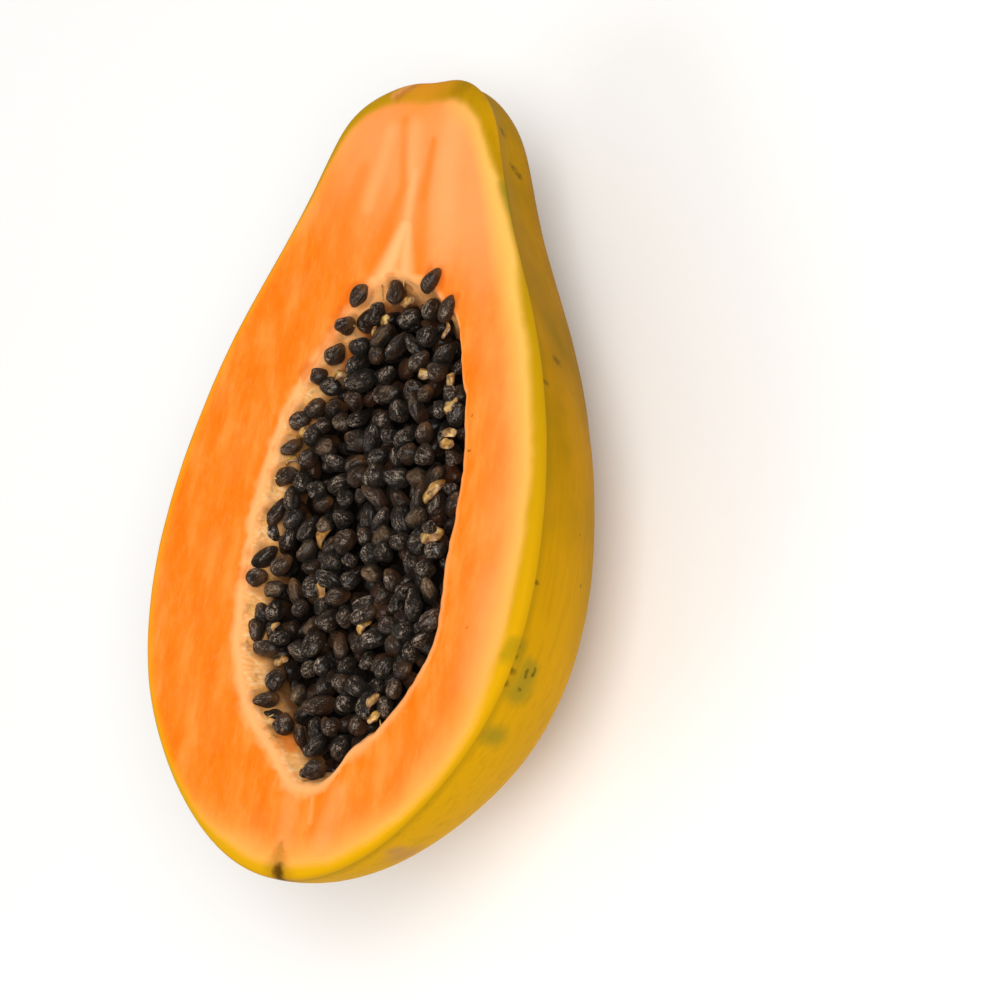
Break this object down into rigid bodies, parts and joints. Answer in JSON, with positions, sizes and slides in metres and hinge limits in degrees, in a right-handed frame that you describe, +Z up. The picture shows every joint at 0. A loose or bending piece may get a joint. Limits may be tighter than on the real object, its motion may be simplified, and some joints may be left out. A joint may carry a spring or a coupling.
{
  "type": "papaya half",
  "caption": "Ripe papaya cut in half lengthwise, lying on its rounded back with its cavity full of dark seeds.",
  "frame": {"origin": "centre of the bounding box's floor, which is the level of the flat spot that the half rests on", "axes": "+Z up, +Y towards the stem end, +X to the right across the cut face seen with the stem end up; the cut face faces up and leans 6.5 degrees down towards the stem end"},
  "size_m": [0.1386, 0.23, 0.0819],
  "materials": {
    "papaya_flesh": "moist satin flesh inside a smooth waxy yellow-green skin",
    "papaya_seed": "moist wrinkled skin, satin to glossy"
  },
  "bodies": {
    "root": {"fruit": "papaya_flesh", "seeds": "papaya_seed"}
  },
  "joints": []
}
